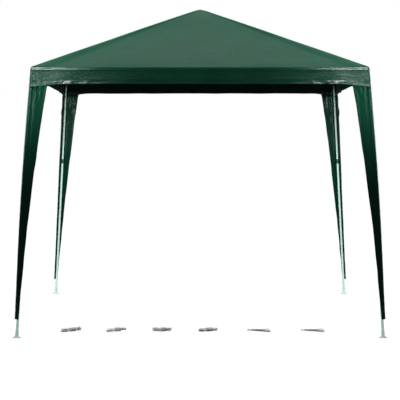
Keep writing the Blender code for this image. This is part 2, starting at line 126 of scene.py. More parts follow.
def grid_mesh(name, points, uvs=None, closed_columns=False):
    """A mesh from a rows x columns array of points, with a UV map in metres."""
    rows, columns = points.shape[:2]
    index = np.arange(rows * columns).reshape(rows, columns)
    if closed_columns:
        index = np.concatenate([index, index[:, :1]], axis=1)
    near, far = index[:-1], index[1:]
    faces = np.stack([near[:, :-1], near[:, 1:], far[:, 1:], far[:, :-1]], axis=-1).reshape(-1, 4)
    mesh = bpy.data.meshes.new(name)
    mesh.from_pydata(points.reshape(-1, 3).tolist(), [], faces.tolist())
    if uvs is not None:
        layer = mesh.uv_layers.new(name="sheet")
        loops = np.zeros(len(mesh.loops), int)
        mesh.loops.foreach_get("vertex_index", loops)
        layer.data.foreach_set("uv", uvs.reshape(-1, 2)[loops].astype(np.float32).ravel())
    mesh.shade_smooth()
    return mesh


def add_piece(name, mesh, material):
    """A new piece that rides on the frame, as all the cloth and cord does."""
    piece = bpy.data.objects.new(name, mesh)
    bpy.context.scene.collection.objects.link(piece)
    piece.data.materials.append(material)
    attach(piece, "frame")
    return piece


def apply_modifiers(piece):
    mesh = bpy.data.meshes.new_from_object(piece.evaluated_get(bpy.context.evaluated_depsgraph_get()))
    piece.modifiers.clear()
    piece.data = mesh


def thicken(piece, thickness, offset=-1.0):
    """Gives a sheet its thickness, and shades its cut edges sharp."""
    solid = piece.modifiers.new("thickness", "SOLIDIFY")
    solid.thickness = thickness
    solid.offset = offset
    apply_modifiers(piece)
    piece.data.set_sharp_from_angle(angle=math.radians(60))


def quarter_turn(quarter):
    """Turns the side that faces +Y, or the rear right corner, to another side or corner."""
    return Matrix.Rotation(quarter * math.pi / 2, 4, "Z")


# ---------------------------------------------------------------- materials


class Nodes:
    """A short way to write a node tree."""

    def __init__(self, name):
        self.material = bpy.data.materials.new(name)
        self.material.use_nodes = True
        self.tree = self.material.node_tree
        self.shader = self.tree.nodes["Principled BSDF"]

    def add(self, kind, settings=None, **inputs):
        node = self.tree.nodes.new(kind)
        for key, value in (settings or {}).items():
            setattr(node, key, value)
        for key, value in inputs.items():
            self.put(node, key.replace("_", " "), value)
        return node

    def put(self, node, socket, value):
        target = node.inputs[int(socket)] if socket.isdigit() else node.inputs[socket]
        if isinstance(value, bpy.types.NodeSocket):
            self.tree.links.new(value, target)
        else:
            target.default_value = value

    def math(self, operation, first, second=0.0):
        node = self.add("ShaderNodeMath", {"operation": operation})
        self.put(node, "0", first)
        self.put(node, "1", second)
        return node.outputs[0]

    def ramp(self, factor, stops):
        node = self.add("ShaderNodeValToRGB")
        elements = node.color_ramp.elements
        while len(elements) < len(stops):
            elements.new(0.5)
        for element, (position, colour) in zip(elements, stops):
            element.position = position
            element.color = (*colour, 1.0)
        self.put(node, "Fac", factor)
        return node.outputs["Color"]

    def span(self, value, low, high):
        """A 0 to 1 value put between low and high."""
        node = self.add("ShaderNodeMapRange")
        self.put(node, "Value", value)
        self.put(node, "To Min", low)
        self.put(node, "To Max", high)
        return node.outputs["Result"]

    def noise(self, vector, scale, detail=3.0, roughness=0.5):
        node = self.add("ShaderNodeTexNoise", Scale=scale, Detail=detail, Roughness=roughness)
        self.put(node, "Vector", vector)
        return node.outputs["Fac"]

    def stretched(self, vector, scale):
        node = self.add("ShaderNodeMapping")
        self.put(node, "Vector", vector)
        self.put(node, "Scale", scale)
        return node.outputs["Vector"]

    def bump_chain(self, layers):
        """Bumps on bumps; each layer is (height, strength, distance)."""
        normal = None
        for height, strength, distance in layers:
            node = self.add("ShaderNodeBump", Strength=strength, Distance=distance)
            self.put(node, "Height", height)
            if normal is not None:
                self.put(node, "Normal", normal)
            normal = node.outputs["Normal"]
        self.put(self.shader, "Normal", normal)


def fabric_material():
    """Dark green woven polyethylene: flat tapes under a thin glossy film, creased from its packing."""
    n = Nodes("woven_green_sheet")
    place = n.add("ShaderNodeUVMap", {"uv_map": "sheet"}).outputs["UV"]
    split = n.add("ShaderNodeSeparateXYZ", Vector=place)
    across, along = split.outputs["X"], split.outputs["Y"]
    tape = 0.0024  # the width of one woven tape
    warp = n.math("ABSOLUTE", n.math("SINE", n.math("MULTIPLY", across, math.pi / tape)))
    weft = n.math("ABSOLUTE", n.math("SINE", n.math("MULTIPLY", along, math.pi / tape)))
    weave = n.math("MAXIMUM", warp, weft)
    solid = n.add("ShaderNodeTexCoord").outputs["Object"]
    mottle = n.noise(solid, 5.0, 4.0)
    crinkle_across = n.noise(n.stretched(place, (60.0, 14.0, 1.0)), 1.0, 4.0, 0.6)
    crinkle_along = n.noise(n.stretched(place, (14.0, 60.0, 1.0)), 1.0, 4.0, 0.6)
    crinkle = n.math("ADD", crinkle_across, crinkle_along)
    colour = n.ramp(mottle, ((0.3, (0.0045, 0.072, 0.038)), (0.7, (0.0062, 0.086, 0.047))))
    n.put(n.shader, "Base Color", colour)
    n.put(n.shader, "Roughness", n.span(n.noise(solid, 22.0, 3.0), 0.27, 0.38))
    n.shader.inputs["Specular IOR Level"].default_value = 0.4
    n.bump_chain(((crinkle, 0.28, 0.004), (weave, 0.10, 0.0003)))
    return n.material


def powder_coat_material():
    """Pale green powder coat with a fine orange peel."""
    n = Nodes("pale_green_powder_coat")
    place = n.add("ShaderNodeTexCoord").outputs["Object"]
    tone = n.noise(place, 9.0, 3.0)
    n.put(n.shader, "Base Color", n.ramp(tone, ((0.3, (0.38, 0.61, 0.51)), (0.7, (0.44, 0.66, 0.57)))))
    n.put(n.shader, "Roughness", n.span(n.noise(place, 60.0), 0.30, 0.44))
    n.bump_chain(((n.noise(place, 900.0, 2.0), 0.12, 0.0004),))
    return n.material


def plastic_material(name, colour, roughness):
    """Moulded plastic with a spark-eroded grain."""
    n = Nodes(name)
    place = n.add("ShaderNodeTexCoord").outputs["Object"]
    darker = tuple(part * 0.8 for part in colour)
    n.put(n.shader, "Base Color", n.ramp(n.noise(place, 40.0), ((0.3, darker), (0.7, colour))))
    n.put(n.shader, "Roughness", n.span(n.noise(place, 200.0), roughness - 0.06, roughness + 0.08))
    n.bump_chain(((n.noise(place, 1600.0, 2.0), 0.25, 0.0003),))
    return n.material


def galvanised_material():
    """Zinc plated steel wire: bright along the drawn rod, with dull patches."""
    n = Nodes("galvanised_steel")
    place = n.add("ShaderNodeTexCoord").outputs["Object"]
    patches = n.noise(place, 90.0, 4.0, 0.6)
    colour = n.ramp(patches, ((0.3, (0.34, 0.36, 0.36)), (0.7, (0.55, 0.57, 0.57))))
    n.put(n.shader, "Base Color", colour)
    n.put(n.shader, "Roughness", n.span(patches, 0.28, 0.48))
    n.shader.inputs["Metallic"].default_value = 1.0
    n.bump_chain(((n.noise(place, 700.0, 3.0), 0.2, 0.0003),))
    return n.material


def cord_material(name, colour, groove_shade):
    """Braided cord: small slanting strands with painted shade in the grooves between them, and a soft
    fuzzy sheen.
    """
    n = Nodes(name)
    place = n.add("ShaderNodeTexCoord").outputs["Object"]
    braid = n.add("ShaderNodeTexWave", {"bands_direction": "DIAGONAL"}, Scale=180.0, Distortion=1.5)
    n.put(braid, "Vector", place)
    # the darker colour at the braid's low grooves is painted shade between the strands
    n.put(n.shader, "Base Color", n.ramp(braid.outputs["Fac"], ((0.1, groove_shade), (0.6, colour))))
    n.shader.inputs["Roughness"].default_value = 0.75
    n.shader.inputs["Sheen Weight"].default_value = 0.25
    n.bump_chain(((braid.outputs["Fac"], 0.4, 0.0004),))
    return n.material


def thread_material():
    """Green sewing thread, a little lighter than the cloth."""
    n = Nodes("green_thread")
    place = n.add("ShaderNodeTexCoord").outputs["Object"]
    colour = n.ramp(n.noise(place, 300.0), ((0.3, (0.02, 0.10, 0.065)), (0.7, (0.04, 0.16, 0.11))))
    n.put(n.shader, "Base Color", colour)
    n.shader.inputs["Roughness"].default_value = 0.6
    n.bump_chain(((n.noise(place, 1500.0), 0.3, 0.0002),))
    return n.material


def stage_material():
    """A lit white sweep: mostly its own glow, so that shadows on it stay faint."""
    n = Nodes("white_studio_floor")
    n.shader.inputs["Base Color"].default_value = (0.05, 0.05, 0.05, 1.0)
    n.shader.inputs["Roughness"].default_value = 1.0
    n.shader.inputs["Specular IOR Level"].default_value = 0.0
    n.shader.inputs["Emission Color"].default_value = (1.0, 1.0, 1.0, 1.0)
    n.shader.inputs["Emission Strength"].default_value = 0.995
    return n.material


# ---------------------------------------------------------------- the canopy

SIDE_STEPS = 200  # points along one side of the canopy
CORNER_STEPS = 6  # and round each of its corners
ROOF_STEPS = 72
EAVE_STEPS = 9
VALANCE_STEPS = 44
CANOPY_SEED = 100
SEED_PER_SIDE = 37

TUBE_EAVE = 0.0145  # from the rail's axis to the fabric
SLEEVE_EAVE = 0.0205  # and where it lies over the corner connector's sleeves
SLEEVE_REACH = 0.058  # how far the sleeves run from the frame corner
EAVE_UV_RADIUS = 0.014
EAVE_UV_RUN = 0.02  # the length of cloth that is left for the eave's bend

ROOF_LEAN = math.atan((APEX_Z - FRAME_Z - TUBE_EAVE) / FRAME_HALF)
ROOF_RUN = math.hypot(FRAME_HALF, APEX_Z - FRAME_Z)
ROOF_SAG = 0.011  # of the cloth, halfway down the middle of a side
PEAK_PART = 0.004  # where the roof's first row starts, as a part of the way out to the eave
ROW_CROWDING = 1.15  # 1 would space the roof's rows evenly; more draws them towards the peak
PEAK_TIP = 0.016  # rounds the peak over the crown's cap
PEAK_RISE = 0.0004  # of the closing point over the first row
HIP_SEAM = 0.0012  # how much the doubled cloth beside a hip stands up
FOLDS_DOWN = (-0.84, -0.42, 0.0, 0.42, 0.84)  # packing folds down the roof, by distance along the side
FOLDS_ACROSS = (0.36, 0.78)  # and across it, by distance out from the peak

SIDE_UV_STEP = 4.0  # keeps the four sides apart on the weave
ROOF_ROUNDING = 0.010  # the corner's radius in plan, on the roof
EDGE_ROUNDING = 0.013  # and from the eave down
MEETING_PART = 0.93  # where a side starts to meet the height of its corner

WELT = 0.0018  # how far the seam under the eave stands out
WELT_DOWN = 0.0050
HEM_BAND = 0.022
HEM_GAP = 0.0016  # between the valance and the cloth turned up behind it
HEM_OUT_CORNER = HEM_HALF - 0.002  # the hem's distance out at the corners
HEM_OUT_MIDDLE = 1.2500  # and in the middle of a side
# the hem's larger crumples: distance from the corner, size
CRUMPLES = ((0.238, 0.6), (0.266, 1.0), (0.296, 0.9), (0.372, 0.5), (0.404, 0.6))


def side_places():
    """Places along a side, -1 to 1, closer together towards the corners."""
    even = np.linspace(-1.0, 1.0, SIDE_STEPS + 1)
    return 0.5 * even + 0.5 * np.sin(even * math.pi / 2)


def canopy_profile():
    """Each row's zone and how far through it the row is, from the peak to the hem and up behind it."""
    rows = [("roof", part) for part in np.linspace(PEAK_PART, 1.0, ROOF_STEPS) ** ROW_CROWDING]
    rows += [("eave", part) for part in np.linspace(0.0, 1.0, EAVE_STEPS)[1:]]
    turns = np.linspace(0.0, math.pi, VALANCE_STEPS)[1:]
    rows += [("valance", part) for part in 0.5 - 0.5 * np.cos(turns)]
    rows += [("turn_up", part) for part in (0.05, 0.5, 1.0)]
    return rows


def roof_wrinkles(places, part, seed):
    """Heights of the roof's wrinkles: slow waves, pulls fanning from both corners, packing folds."""
    half = part * FRAME_HALF
    x = places * half
    up = (1.0 - part) * FRAME_HALF  # distance up from the eave, in plan
    height = 0.0020 * noise_2d(x / 0.45 + 20, half / 0.45 + 0 * x, seed)
    height += 0.0003 * noise_2d(x / 0.10 + 60, half / 0.22 + 0 * x, seed + 1)
    for corner in (-1.0, 1.0):
        inward = FRAME_HALF - corner * x
        reach = np.hypot(inward, up)
        angle = np.arctan2(up + 0.02, np.abs(inward) + 0.02)
        fan = noise_1d(angle * 11.0 + 40 + 7 * corner, seed + 2)
        fan += 0.5 * noise_1d(angle * 23.0 + 90, seed + 3)
        height += 0.0011 * fan * np.exp(-reach / 0.30) * smooth_step(reach, 0.04, 0.16)
    for fold in FOLDS_DOWN:
        height += 0.0006 * bump(x, fold + 0.01 * np.sin(half * 5), 0.006)
    for fold in FOLDS_ACROSS:
        height += 0.0005 * bump(half + 0 * x, fold, 0.006)
    return height


def near_hem(down, start, full):
    """0 further above the hem than start, 1 nearer to it than full."""
    return smooth_step(down, VALANCE_DEPTH - start, VALANCE_DEPTH - full)


def valance_waves(x, down, from_corner, seed):
    """Short level creases near the corners, the welt, slow waves that grow downwards and a low swell."""
    level = noise_2d(x / 0.08 + 9, (down + 0.04 * x) / 0.010, seed + 10)
    move = 0.0006 * bump(from_corner, 0.17, 0.16) * level * smooth_step(down, 0.022, 0.045)
    move += WELT * bump(down, WELT_DOWN, np.where(down < WELT_DOWN, 0.004, 0.012))
    lower = np.clip(down / VALANCE_DEPTH, 0.0, 1.0)
    wave = noise_1d(x / 0.30 + 3, seed + 11) + 0.4 * noise_1d(x / 0.11 + 30, seed + 12)
    move += 0.0036 * wave * lower**1.5 * smooth_step(from_corner, 0.12, 0.4)
    swell = bump(down, VALANCE_DEPTH - 0.036, 0.013) * smooth_step(from_corner, 0.28, 0.5)
    move += 0.0022 * swell * (0.8 + 0.5 * noise_1d(x / 0.2 + 22, seed + 16))
    return move


def hem_edge(down, from_corner, lean, seed):
    """The hem stands out at its edge, least over a leg cover, and rolls outwards in two places."""
    by_cover = 1.0 - smooth_step(from_corner, 0.10, 0.15)
    move = 0.0014 * near_hem(down, 0.018, 0.004) * by_cover
    move += 0.0040 * near_hem(down, 0.014, 0.002) * smooth_step(from_corner, 0.18, 0.3)
    roll = near_hem(down, 0.031, 0.006) * (0.75 + 0.4 * noise_1d(lean / 0.016 + 70, seed + 17))
    move += roll * (0.0115 * bump(from_corner, 0.278, 0.045) + 0.0065 * bump(from_corner, 0.400, 0.03))
    return move


def hem_crumples(x, down, from_corner, lean, seed):
    """Fine crinkles, strongest in two places near the corner, and larger crumples that lean."""
    hem = near_hem(down, 0.034, 0.004)
    crinkle = noise_2d(x / 0.014 + 50, down / 0.03 + 0 * x, seed + 13)
    strength = 0.6 * bump(from_corner, 0.255, 0.05) + 0.35 * bump(from_corner, 0.38, 0.05) + 0.03
    move = 0.0075 * crinkle * hem * strength
    for place, size in CRUMPLES:
        fold = bump(lean, place, 0.008) - 0.7 * bump(lean, place + 0.014, 0.008)
        move += 0.0030 * size * hem * fold
    return move


def hem_gathers(x, down, from_corner, seed):
    """Upright gathers by the corner, and the puckered stitch line over the turned-up hem."""
    upright = noise_2d(x / 0.010 + 70, down / 0.05 + 0 * x, seed + 14)
    gather = np.exp(-from_corner / 0.07) * smooth_step(down, VALANCE_DEPTH * 0.55, VALANCE_DEPTH)
    stitch = near_hem(down, HEM_BAND + 0.004, HEM_BAND)
    pucker = 0.0007 * stitch * (1.0 + 0.8 * noise_1d(x / 0.010 + 15, seed + 15))
    return 0.0060 * upright * gather + pucker


def valance_wrinkles(places, down, seed):
    """How far the valance stands out of its plain shape, at a distance down from the eave."""
    x = places * FRAME_HALF
    from_corner = FRAME_HALF - np.abs(x)
    lean = from_corner - 0.25 * (VALANCE_DEPTH - down)  # crumples slant away from the corner as they rise
    move = valance_waves(x, down, from_corner, seed)
    move += hem_edge(down, from_corner, lean, seed)
    move += hem_crumples(x, down, from_corner, lean, seed)
    move += hem_gathers(x, down, from_corner, seed)
    return move


def hem_lift(places, side):
    """How far a hem is drawn up between its corners, more at the sides than at the front and back."""
    from_corner = FRAME_HALF * (1.0 - np.abs(places))
    free = smooth_step(from_corner, 0.02, 0.22)
    if side % 2:
        return 0.006 * (free - 1.0) + 0.029 * (1.0 - np.abs(places) ** 1.1)
    return 0.0170 * free - 0.0115


def roof_row(part, places, radius, seed):
    start_out = FRAME_HALF + radius * math.sin(ROOF_LEAN)
    start_z = FRAME_Z + radius * math.cos(ROOF_LEAN)
    fall = (np.hypot(part, PEAK_TIP) - PEAK_TIP) / (math.hypot(1.0, PEAK_TIP) - PEAK_TIP)
    sag = ROOF_SAG * (1.0 - places**2) * np.sin(math.pi * part) ** 1.5
    fade = smooth_step(part, 0.0, 0.05) * (1.0 - smooth_step(part, 0.95, 1.0))
    half = part * FRAME_HALF
    seam = HIP_SEAM * smooth_step(np.abs(places) * half, half - 0.014, half - 0.010)
    lift = roof_wrinkles(places, part, seed) * fade + seam
    height = APEX_Z - (APEX_Z - start_z) * fall - sag + lift
    return start_out * part, height, ROOF_RUN * part + 0 * places


def eave_row(part, places, radius):
    bend = (math.pi / 2 - ROOF_LEAN) * part
    out = FRAME_HALF + radius * np.sin(ROOF_LEAN + bend)
    height = FRAME_Z + radius * np.cos(ROOF_LEAN + bend)
    return out, height, ROOF_RUN + EAVE_UV_RADIUS * bend + 0 * places


def valance_row(down, places, radius, seed, side):
    from_corner = FRAME_HALF * (1.0 - np.abs(places))
    held_out = 1.0 - smooth_step(from_corner, 0.16, 0.40)  # by the leg cover behind it
    hem_out = HEM_OUT_MIDDLE + (HEM_OUT_CORNER - HEM_OUT_MIDDLE) * held_out
    top_out = FRAME_HALF + radius
    hang = down / VALANCE_DEPTH
    out = top_out + (hem_out - top_out) * hang + valance_wrinkles(places, down, seed)
    uneven = 0.0015 * noise_1d(places * 9 + 5, seed + 20)
    height = FRAME_Z - down + (uneven + hem_lift(places, side)) * hang
    return out, height, ROOF_RUN + EAVE_UV_RUN + down + 0 * places


def canopy_row(zone, part, places, seed, side):
    """One side's points in a row, for the side that faces +Y: the distance out from the middle, the height
    and the distance run down the sheet."""
    from_corner = FRAME_HALF * (1.0 - np.abs(places))
    over_sleeve = 1.0 - smooth_step(from_corner, SLEEVE_REACH - 0.02, SLEEVE_REACH + 0.10)
    radius = TUBE_EAVE + (SLEEVE_EAVE - TUBE_EAVE) * over_sleeve
    if zone == "roof":
        return roof_row(part, places, radius, seed)
    if zone == "eave":
        return eave_row(part, places, radius)
    if zone == "valance":
        return valance_row(VALANCE_DEPTH * part, places, radius, seed, side)
    out, height, run = valance_row(VALANCE_DEPTH - HEM_BAND * part, places, radius, seed, side)
    return out - HEM_GAP, height, run


def corner_arc(half, rounding, height):
    """Points round the corner that follows the side facing +Y, and their distances along the sheet."""
    angles = np.linspace(0.0, math.pi / 2, CORNER_STEPS + 1)[1:-1]
    x = rounding - half - rounding * np.sin(angles)
    y = half - rounding + rounding * np.cos(angles)
    return np.stack([x, y, np.full(angles.shape, height)], axis=-1), half + rounding * angles


def canopy_points():
    """All rows as loops round the four sides, with the places of their points on the cloth."""
    places = side_places()
    meeting = smooth_step(np.abs(places), MEETING_PART, 1.0)
    rows, uvs = [], []
    for zone, part in canopy_profile():
        corner = canopy_row(zone, part, np.array([1.0]), CANOPY_SEED, 2)
        half, corner_z = float(corner[0][0]), float(corner[1][0])
        rounding = min(ROOF_ROUNDING if zone == "roof" else EDGE_ROUNDING, half * 0.4)
        along = places * (half - rounding)
        arc, arc_along = corner_arc(half, rounding, corner_z)
        loop, loop_uv = [], []
        for side in range(4):
            out, height, run = canopy_row(zone, part, places, CANOPY_SEED + SEED_PER_SIDE * side, side)
            y = out * (1 - meeting) + half * meeting
            z = height * (1 - meeting) + corner_z * meeting
            turn = np.array(quarter_turn(side))[:3, :3]
            loop += [np.stack([-along, y, z], axis=-1) @ turn.T, arc @ turn.T]
            arc_run = np.full(arc_along.shape, run[-1])
            for distance, down in ((along, run), (arc_along, arc_run)):
                loop_uv.append(np.stack([distance + side * SIDE_UV_STEP, down], axis=-1))
        rows.append(np.concatenate(loop))
        uvs.append(np.concatenate(loop_uv))
    return np.array(rows), np.array(uvs)


def roof_mesh(points, uvs):
    """The rows of the roof, closed at the peak."""
    mesh = grid_mesh("canopy_sheet", points, uvs, closed_columns=True)
    bm = bmesh.new()
    bm.from_mesh(mesh)
    peak = bm.verts.new((0.0, 0.0, points[0, :, 2].max() + PEAK_RISE))
    bm.verts.ensure_lookup_table()
    count = points.shape[1]
    layer = bm.loops.layers.uv.active
    for number in range(count):
        face = bm.faces.new((bm.verts[number], peak, bm.verts[(number + 1) % count]))
        face.smooth = True
        for loop in face.loops:
            loop[layer].uv = (loop.vert.co.x, loop.vert.co.y)
    bmesh.ops.recalc_face_normals(bm, faces=bm.faces)
    bm.to_mesh(mesh)
    bm.free()
    return mesh


def build_canopy(fabric, thread):
    """The roof, one sheet from the peak to the eave, and the valance that is sewn to it along the eave."""
    points, uvs = canopy_points()
    build_canopy_stitches(thread, points)
    eave = [zone for zone, _ in canopy_profile()].index("eave")
    roof = roof_mesh(points[:eave], uvs[:eave])
    valance = grid_mesh("canopy_valance", points[eave - 1 :], uvs[eave - 1 :], closed_columns=True)
    valance.flip_normals()
    for mesh in (roof, valance):
        piece = add_piece(mesh.name, mesh, fabric)
        thicken(piece, SHEET)
        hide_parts("canopy")


# ---------------------------------------------------------------- the leg covers

COVER_ROWS = 190
WING_STEPS = 34
COVER_SEED = 400
SEED_PER_COVER = 91
COVER_ROUNDING = 0.013
COVER_STANDOFF = 0.0210  # from the leg's axis to the cover's outer face
COVER_SWING = {"front": 0.0105, "rear": 0.0020}  # how far its middle hangs away from the leg
COVER_PULLED = {"front": HEM_Z - 0.02, "rear": HEM_Z - 0.17}  # the height where its wrinkles are deepest
COVER_TUCK = 0.0050  # how far in a fold may go, and how far the cover is drawn in under the valance


def leg_axis_at(height):
    """How far the leg's axis is from the middle, along X and along Y, at a height."""
    return FOOT_HALF + (FRAME_HALF - FOOT_HALF) * height / FRAME_Z


def squash_with_cover(piece):
    """Gives the piece its own copy of its mesh."""
    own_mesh(piece)


def cover_bow(height):
    """0 at both ends of a cover and 1 in the middle, where the cloth swings away from the leg."""
    return float(np.sin(math.pi * np.clip((height - 0.2) / 1.7, 0.0, 1.0)))


def cover_width(height):
    """A wing narrows from the hem down to the foot; it flares where it is sewn under the valance."""
    flare = 0.008 * np.exp(-np.abs(HEM_Z - height) / 0.012)
    return 0.0185 + 0.036 * height + 0.0135 * height**2 + flare


def cover_folds(distance, height, width, seed, pulled):
    """How far a wing stands out: over the tube, in beside it, and in upright folds that fade downwards.
    The cloth is pulled into short slanting wrinkles round the height that is given."""
    upper = smooth_step(height, 0.55, HEM_Z)
    roomy = smooth_step(width, 0.035, 0.075)
    below = np.maximum(HEM_Z - height, 0.0)
    move = 0.0024 * bump(distance, 0.0185, 0.0035)
    move -= 0.0024 * bump(distance, 0.034, 0.009) * roomy
    folds = noise_2d(distance / 0.016 + 11, height / 0.60, seed)
    move += 0.0016 * folds * roomy * smooth_step(distance, 0.03, 0.06) * (0.35 + 0.65 * upper)
    slow = noise_2d(distance / 0.06 + 31, height / 0.45 + 7, seed + 1)
    move += 0.0022 * slow * roomy * smooth_step(distance, 0.02, 0.06)
    pulls = noise_2d((distance + 0.20 * below) / 0.010, height / 0.08, seed + 3)
    move += 0.0080 * pulls * bump(height, pulled, 0.07) * roomy * smooth_step(distance, 0.025, 0.04)
    fine = noise_2d(distance / 0.0055 + 5, height / 0.20, seed + 2)
    move += 0.0010 * fine * (0.3 + 0.7 * upper)
    move += 0.0006 * noise_2d(distance / 0.014 + 3, height / 0.016, seed + 4)
    return move


def cover_moves(across, distance, height, widths, seed, pulled):
    """How far the points in a row of a cover move out of its plain shape."""
    one_wing = cover_folds(distance, height, widths, seed, pulled)
    other_wing = cover_folds(distance, height, widths, seed + 50, pulled)
    calm = 0.3 if height > HEM_Z else 1.0  # behind the valance
    moves = np.where(across < 0, one_wing, other_wing) * calm * smooth_step(distance, 0.0, 0.012)
    tucked = smooth_step(height, HEM_Z - 0.022, HEM_Z - 0.002)
    hem = 0.0008 * smooth_step(distance, widths - 0.013, widths - 0.011)
    return np.maximum(moves, -COVER_TUCK) - COVER_TUCK * tucked + hem


def cover_points(seed, swing, pulled):
    """Rows of points across both wings of the rear right cover, from its top down."""
    across = np.linspace(-1.0, 1.0, 2 * WING_STEPS + 1)
    corner_run = COVER_ROUNDING * math.pi / 4  # half of the arc round the corner
    rows, uvs = [], []
    for height in np.linspace(COVER_TOP_Z, COVER_BOTTOM_Z, COVER_ROWS):
        bow = swing * cover_bow(height)
        edge_wave = 0.0022 * noise_1d(np.array([height / 0.10, height / 0.10 + 80]), seed + 9)
        widths = cover_width(height) + 0.45 * bow + np.where(across < 0, *edge_wave)
        distance = np.abs(across) * widths
        beyond = np.maximum(distance - corner_run, 0.0)
        turn = math.pi / 4 * (1.0 - np.clip(distance / corner_run, 0.0, 1.0))  # 0 from the arc's end on
        outer = leg_axis_at(height) + COVER_STANDOFF + bow
        run = outer - COVER_ROUNDING + COVER_ROUNDING * np.sin(turn) - beyond
        face = outer - COVER_ROUNDING * (1.0 - np.cos(turn))
        face = face + cover_moves(across, distance, height, widths, seed, pulled)
        x = np.where(across < 0, run, face)
        y = np.where(across < 0, face, run)
        z = np.full(x.shape, height)
        rows.append(np.stack([x, y, z], axis=-1))
        uvs.append(np.stack([np.sign(across) * distance, z], axis=-1))
    return np.array(rows), np.array(uvs)


def build_covers(fabric, thread):
    for name, quarter in CORNERS:
        end = name.split("_")[0]
        seed = COVER_SEED + SEED_PER_COVER * quarter
        points, uvs = cover_points(seed, COVER_SWING[end], COVER_PULLED[end])
        mesh = grid_mesh(f"leg_cover_sheet_{name}", points, uvs)
        mesh.transform(quarter_turn(quarter))
        cover = add_piece(f"leg_cover_sheet_{name}", mesh, fabric)
        thicken(cover, SHEET, offset=0.0)
        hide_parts(f"leg_cover_{name}")
        squash_with_cover(cover)
        build_cover_stitches(thread, name, quarter, points)


# ---------------------------------------------------------------- stitching

STITCH_PITCH = 0.006
STITCH_LENGTH = 0.0042
STITCH_RADIUS = 0.00045
INSET_POINTS = 40  # how many points of a row are enough to find a stitch line
HEM_INSET = 0.003  # from the top of the turned-up hem down to its stitches
HIP_INSET = 0.009  # from a hip to the stitches on both sides of it
HIP_FIRST_ROW = 6
COVER_INSET = 0.010


def lengths_along(line):
    """The distance run along a line at each of its points."""
    return np.concatenate([[0.0], np.cumsum(np.linalg.norm(np.diff(line, axis=0), axis=1))])


def point_at(line, lengths, place):
    return np.array([np.interp(place, lengths, line[:, axis]) for axis in range(3)])


def inset_line(rows, start, step, inset):
    """For each row of points, the place that is a distance along the row from its point number start."""
    numbers = (start + step * np.arange(INSET_POINTS)) % rows.shape[1]
    walks = rows[:, numbers]
    return np.array([point_at(walk, lengths_along(walk), inset) for walk in walks])


def stitch_points(line, side_of):
    """Small spindles, one a stitch, along a line; side_of gives the way each stitch is flat against."""
    lengths = lengths_along(line)
    spindles = []
    for place in np.arange(STITCH_PITCH, lengths[-1] - STITCH_PITCH, STITCH_PITCH):
        start = point_at(line, lengths, place - STITCH_LENGTH / 2)
        end = point_at(line, lengths, place + STITCH_LENGTH / 2)
        along = (end - start) / np.linalg.norm(end - start)
        out = side_of - along * (side_of @ along)
        out /= np.linalg.norm(out)
        across = np.cross(along, out)
        middle = (start + end) / 2
        ring = [middle + STITCH_RADIUS * way for way in (across, out, -across, -out)]
        spindles.append([start, *ring, end])
    return np.array(spindles)


def stitch_mesh(name, spindles):
    """Each spindle has a first point, a ring of four and a last point."""
    faces = []
    for start in range(0, 6 * len(spindles), 6):
        for number in range(4):
            near, far = start + 1 + number, start + 1 + (number + 1) % 4
            faces.append((start, far, near))
            faces.append((start + 5, near, far))
    mesh = bpy.data.meshes.new(name)
    mesh.from_pydata(spindles.reshape(-1, 3).tolist(), [], faces)
    mesh.shade_smooth()
    return mesh


def hem_stitch_ring(points):
    """The loop round the valance where its hem is stitched, between two of its rows."""
    hem_part = (VALANCE_DEPTH - HEM_BAND + HEM_INSET) / VALANCE_DEPTH
    valance = [(number, row[1]) for number, row in enumerate(canopy_profile()) if row[0] == "valance"]
    numbers, parts = zip(*valance)
    place = float(np.interp(hem_part, parts, numbers))
    above = int(place)
    return points[above] * (1 - place + above) + points[above + 1] * (place - above)


def build_canopy_stitches(thread, points):
    """One row of stitches round the hem and two rows beside each hip seam."""
    ring = hem_stitch_ring(points)
    eave = [zone for zone, _ in canopy_profile()].index("eave")
    roof = points[HIP_FIRST_ROW:eave]
    side_count = points.shape[1] // 4
    spindles = []
    for side in range(4):
        first = side * side_count
        outwards = np.array(quarter_turn(side))[:3, :3] @ np.array((0.0, 1.0, 0.0))
        spindles.append(stitch_points(ring[first : first + SIDE_STEPS + 1], outwards))
        hip = first + SIDE_STEPS + CORNER_STEPS // 2
        for step in (-1, 1):
            seam = inset_line(roof, hip, step, HIP_INSET)
            spindles.append(stitch_points(seam, np.array((0.0, 0.0, 1.0))))
    piece = add_piece("canopy_stitches", stitch_mesh("canopy_stitches", np.concatenate(spindles)), thread)


def build_cover_stitches(thread, name, quarter, points):
    """A row of stitches down both edges of a leg cover."""
    spindles = []
    last = points.shape[1] - 1
    for start, step, way in ((0, 1, (0.0, 1.0, 0.0)), (last, -1, (1.0, 0.0, 0.0))):
        spindles.append(stitch_points(inset_line(points, start, step, COVER_INSET), np.array(way)))
    mesh = stitch_mesh(f"cover_stitches_{name}", np.concatenate(spindles))
    mesh.transform(quarter_turn(quarter))
    piece = add_piece(f"cover_stitches_{name}", mesh, thread)
    squash_with_cover(piece)


# ---------------------------------------------------------------- ropes

CORD_RADIUS = 0.0015
HANK_COUNT = 4
HANK_SEED = 900
SEED_PER_HANK = 17
HANK_LENGTH = 0.174
HANK_TURN = math.radians(28)  # how far a hank lies turned from the X axis
HANK_LOOPS = 12
LOOP_STEPS = 56
WAIST_Z = 0.0165  # the height of the middle of a hank's waist
HANK_TOP_Z = 0.034
WRAPS = 13
WRAP_STEPS = 26
WRAP_START, WRAP_RUN = -0.014, 0.050  # where the wraps turn back, and how far they run from there
WRAP_RADII = (0.0118, 0.0142)  # of the wraps' lower and upper layer


